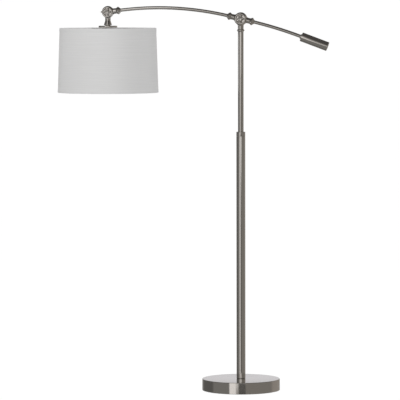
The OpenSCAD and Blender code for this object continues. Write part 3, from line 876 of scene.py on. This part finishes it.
def make_shade():
    rows = 24
    outside = [(TRIM_T, SHADE_H * i / rows) for i in range(rows + 1)]
    inside = [(TRIM_T + SKIN_T, SHADE_H * (1 - i / rows)) for i in range(rows + 1)]
    cloth = band("shade_cloth", outside + inside, seam=0.35 * MM)
    stand_for(cloth, "shade_fabric")
    # Each tape folds over its rim and rolls round the wire ring inside
    skins = TRIM_T + 2 * SKIN_T
    fold, roll_in, roll_h = 0.4 * MM, skins + 3.9 * MM, 4.3 * MM
    for name, node, rim, way in (
        ("top_tape", "shade_top_trim", 0.0, 1),
        ("bottom_tape", "shade_bottom_trim", SHADE_H, -1),
    ):
        section = rounded([
            (0, TRIM_H / 2),
            (0, -fold),
            (roll_in + fold, -fold),
            (roll_in + fold, roll_h + fold),
            (skins, roll_h + fold),
            (skins, roll_h),
            (roll_in, roll_h),
            (roll_in, 0),
            (TRIM_T, 0),
            (TRIM_T, TRIM_H),
            (0, TRIM_H),
            (0, TRIM_H / 2),
        ], 1.0 * MM, 3)
        layers = [(p.x, rim + way * p.y) for p in section[:-1]]
        stand_for(band(name, layers), node)


def make_cap():
    """The shallow cup on top of the shade, with a hub inside."""
    low, high = bottom("shade_cap"), top("shade_cap")
    radius = half_size("shade_cap", "y")
    wall, hub_r = 2.2 * MM, 13 * MM
    profile = rounded([
        (STEM_HOLE, high),
        (radius, high),
        (radius, low),
        (radius - wall, low),
        (radius - wall, high - wall),
        (hub_r, high - wall),
        (hub_r, low),
        (STEM_HOLE, low),
    ], 1.2 * MM)
    origin = Vector((TIP.x, 0, 0))
    stand_for(lathe("cap_disc", profile, origin, closed=True), "shade_cap")


make_base()
make_pole()
make_post_knuckle()
make_shade_knuckle()
make_arm()
make_cap()
make_shade()

# ---- Stage and light ----


def round_the_lamp(degrees, distance, height):
    """A point at that angle to the right of the camera's direction, as the lamp sees it."""
    angle = CAMERA_YAW + math.radians(degrees)
    return Vector((AIM.x + distance * math.sin(angle), AIM.y - distance * math.cos(angle), height))


def softbox(name, position, width, height, power):
    """A light that falls on cloth: the metal's reflections come from the room round the lamp."""
    data = bpy.data.lights.new(name, "AREA")
    data.shape = "RECTANGLE"
    data.size = width
    data.size_y = height
    data.energy = power
    light = bpy.data.objects.new(name, data)
    light.location = position
    lamp_middle = Vector((AIM.x, AIM.y, 1.0))
    light.rotation_euler = (position - lamp_middle).to_track_quat("Z", "Y").to_euler()
    light.visible_glossy = False
    bpy.context.scene.collection.objects.link(light)


# The grey between the patches, to the right and to the left, and the grey that lights what isn't metal
GREY_RIGHT = (0.262, 0.247, 0.226)
GREY_LEFT = (0.240, 0.234, 0.222)
AMBIENT = 0.36
# The room that the metal reflects: angles in degrees, to the right of the camera and above the
# horizon, then how soft the edge is and the patch's colour
ROOM = [
    # from, to, lowest, highest, softness, colour
    (-148, -92, -90, 60, 10, (0.14, 0.137, 0.13)),
    (105, 158, -90, 60, 12, (0.36, 0.33, 0.30)),
    (-13, 13, -30, 0, 5, (0.125, 0.12, 0.112)),
    (-180, 180, 28, 180, 14, (0.09, 0.086, 0.082)),
    (-180, -166, 1, 15, 3, (0.73, 0.72, 0.74)),
    (166, 180, 1, 15, 3, (0.73, 0.72, 0.74)),
    (-16, 16, 1, 9, 2, (1.0, 0.98, 0.96)),
    (-17, -8, -12, 45, 4, (0.42, 0.40, 0.38)),
    (-18, -9, -5.0, 0, 0.6, (0.85, 0.83, 0.81)),
    (-35.5, -16, -12, 45, 2, (1.08, 1.05, 1.03)),
]


def make_world():
    world = bpy.data.worlds.new("studio")
    bpy.context.scene.world = world
    world.use_nodes = True
    world.node_tree.nodes.clear()
    t = Tree(world.node_tree)
    seen = t.add("ShaderNodeTexCoord").outputs["Generated"]
    turned = t.add("ShaderNodeVectorRotate", {"Vector": seen, "Angle": -CAMERA_YAW}, rotation_type="Z_AXIS")
    split = t.add("ShaderNodeSeparateXYZ", {"Vector": turned.outputs["Vector"]})
    x, y, z = split.outputs["X"], split.outputs["Y"], split.outputs["Z"]
    right = t.math("MULTIPLY", t.math("ARCTAN2", x, t.math("MULTIPLY", y, -1.0)), math.degrees(1))
    above = t.math("MULTIPLY", t.math("ARCSINE", z), math.degrees(1))
    colour = t.mix(t.map(right, 0.0, 1.0, -20, 20, "SMOOTHSTEP"), GREY_LEFT, GREY_RIGHT)
    for start, end, lowest, highest, soft, tone in ROOM:
        inside = None
        for value, low, high in ((right, start, end), (above, lowest, highest)):
            for edge, before, after in ((low, 0.0, 1.0), (high, 1.0, 0.0)):
                # An edge at 180 degrees needs no step
                if abs(edge) == 180:
                    continue
                step = t.map(value, before, after, edge - soft / 2, edge + soft / 2, "SMOOTHSTEP")
                inside = step if inside is None else t.math("MULTIPLY", inside, step)
        colour = t.mix(inside, colour, tone)
    # Cloth and plastic see one even grey, and the camera sees a white backdrop
    path = t.add("ShaderNodeLightPath").outputs
    lit = t.mix(path["Is Diffuse Ray"], colour, (AMBIENT, AMBIENT, AMBIENT))
    room = t.add("ShaderNodeBackground", {"Color": lit})
    backdrop = t.add("ShaderNodeBackground", {"Color": (1, 1, 1, 1)})
    mix = t.add("ShaderNodeMixShader", {0: path["Is Camera Ray"]})
    t.link(room.outputs["Background"], mix.inputs[1])
    t.link(backdrop.outputs["Background"], mix.inputs[2])
    t.add("ShaderNodeOutputWorld", {"Surface": mix.outputs["Shader"]})


def make_floor():
    """A pale floor that only the camera sees: it neither lights the lamp nor shows in its metal."""
    size, under = 700, 0.5 * MM
    corners = [(-size, -size, 0), (size, -size, 0), (size, size, 0), (-size, size, 0)]
    mesh = bpy.data.meshes.new("floor")
    mesh.from_pydata(corners, [], [(0, 1, 2, 3)])
    floor = bpy.data.objects.new("floor", mesh)
    bpy.context.scene.collection.objects.link(floor)
    m = Material("floor_paint")
    m.set(Base_Color=(0.06, 0.06, 0.06, 1), Roughness=1.0)
    m.set(Emission_Color=(1, 1, 1, 1), Emission_Strength=0.97)
    floor.data.materials.append(m.material)
    floor.visible_glossy = False
    floor.visible_diffuse = False
    floor.location.z = -under


make_world()
make_floor()
softbox("key", round_the_lamp(-17, 4.0, 2.2), 1.6, 2.2, 70)
softbox("rim_left", round_the_lamp(-120, 3.6, 1.6), 2.0, 2.5, 21)
softbox("rim_right", round_the_lamp(120, 4.0, 1.6), 2.0, 2.5, 70)
bpy.context.scene.view_settings.view_transform = "Standard"
